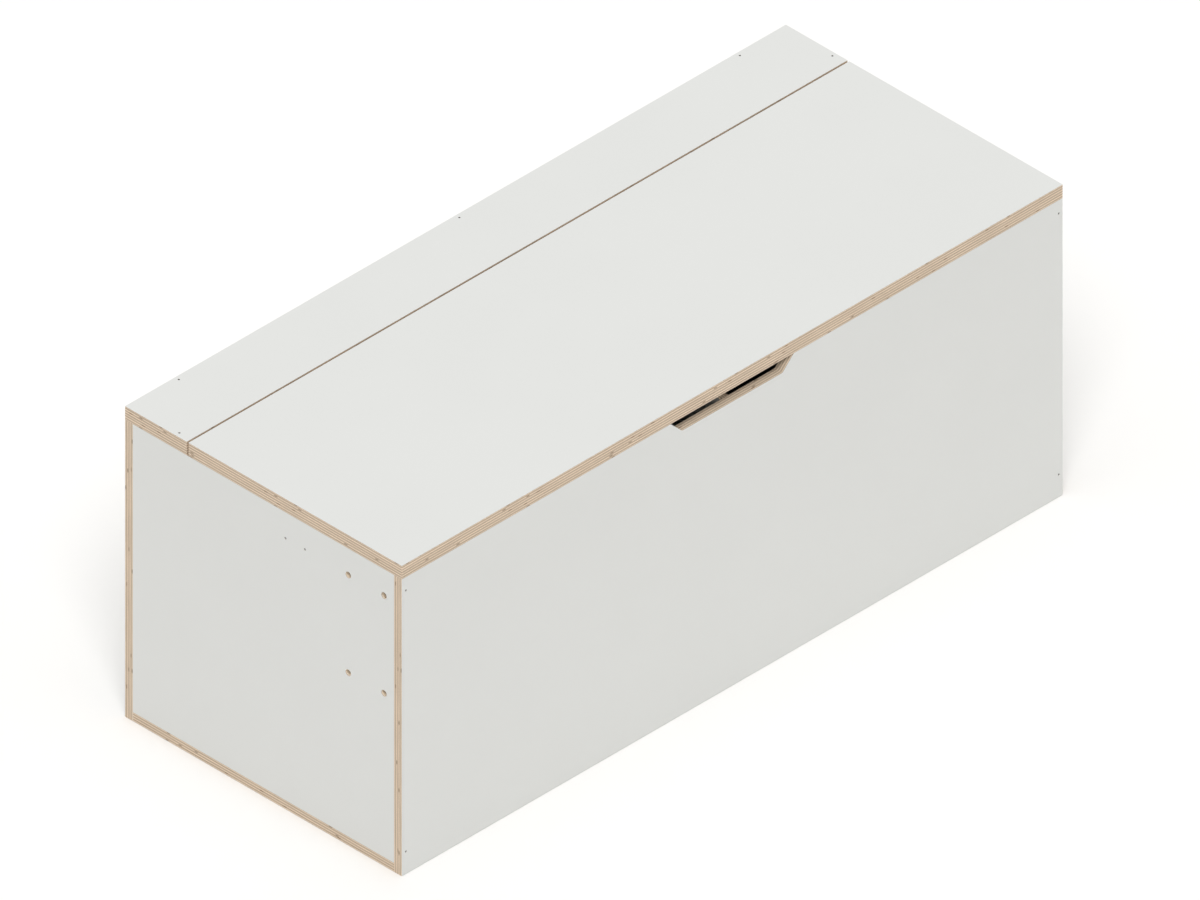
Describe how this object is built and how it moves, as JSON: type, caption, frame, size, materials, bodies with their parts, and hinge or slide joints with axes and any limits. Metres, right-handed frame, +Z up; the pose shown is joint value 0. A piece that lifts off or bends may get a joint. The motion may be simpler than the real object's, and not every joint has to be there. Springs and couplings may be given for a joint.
{
  "type": "toy box",
  "caption": "Rectangular plywood storage chest with white faces and bare ply edges, a hinged lid in front of a fixed rear strip, a finger notch and a middle divider.",
  "frame": {"origin": "centre of the footprint, on the floor under the box", "axes": "+X along the box's length, to the right seen from the front; +Y to the back, where the fixed strip is; +Z up"},
  "size_m": [1, 0.419, 0.407],
  "materials": {
    "laminated_plywood": "matte white laminate on both faces, bare birch ply edges",
    "beech": "plain turned wood",
    "zinc_plate": "zinc plated, satin",
    "bright_steel": "ground steel",
    "dark_screw_steel": "grey phosphate"
  },
  "bodies": {
    "box": {"front_panel": "laminated_plywood", "back_panel": "laminated_plywood", "left_side_panel": "laminated_plywood", "right_side_panel": "laminated_plywood", "bottom_panel": "laminated_plywood", "middle_divider": "laminated_plywood", "rear_top_strip": "laminated_plywood", "front_panel_screws": "dark_screw_steel", "back_panel_screws": "dark_screw_steel", "bottom_screws": "dark_screw_steel", "strip_back_screws": "dark_screw_steel", "strip_end_screws": "dark_screw_steel", "bottom_dowels": "beech", "divider_dowels": "beech", "left_hinge_strip_cup": "zinc_plate", "centre_hinge_strip_cup": "zinc_plate", "right_hinge_strip_cup": "zinc_plate", "hinge_strip_screws": "zinc_plate", "left_stay_side_plate": "zinc_plate", "right_stay_side_plate": "zinc_plate", "left_stay_stud": "bright_steel", "right_stay_stud": "bright_steel", "stay_side_screws": "dark_screw_steel"},
    "lid": {"lid_panel": "laminated_plywood", "left_hinge_lid_cup": "zinc_plate", "centre_hinge_lid_cup": "zinc_plate", "right_hinge_lid_cup": "zinc_plate", "hinge_lid_screws": "zinc_plate", "left_stay_lid_bracket": "zinc_plate", "right_stay_lid_bracket": "zinc_plate", "left_stay_pivot": "bright_steel", "right_stay_pivot": "bright_steel", "stay_lid_screws": "zinc_plate"},
    "hinge_links": {"left_hinge_link": "bright_steel", "centre_hinge_link": "bright_steel", "right_hinge_link": "bright_steel"},
    "left_arm": {"left_stay_arm": "zinc_plate"},
    "right_arm": {"right_stay_arm": "zinc_plate"}
  },
  "joints": [
    {"name": "lid_hinge", "type": "hinge", "parent": "box", "child": "lid", "pos_m": [0, 0.11475, 0.4065], "axis": [-1, 0, 0], "range_deg": [0, 85]},
    {"name": "hinge_link_turn", "type": "hinge", "parent": "box", "child": "hinge_links", "pos_m": [0, 0.11475, 0.4065], "axis": [-1, 0, 0], "range_deg": [0, 42.5]},
    {"name": "left_stay_turn", "type": "hinge", "parent": "lid", "child": "left_arm", "pos_m": [-0.48435, -0.05373, 0.379], "axis": [-1, 0, 0], "range_deg": [-42.5, 0]},
    {"name": "right_stay_turn", "type": "hinge", "parent": "lid", "child": "right_arm", "pos_m": [0.48435, -0.05373, 0.379], "axis": [-1, 0, 0], "range_deg": [-42.5, 0]}
  ],
  "couplings": [
    {"joint": "hinge_link_turn", "follows": "lid_hinge", "ratio": 0.5},
    {"joint": "left_stay_turn", "follows": "lid_hinge", "ratio": -0.5},
    {"joint": "right_stay_turn", "follows": "lid_hinge", "ratio": -0.5}
  ]
}
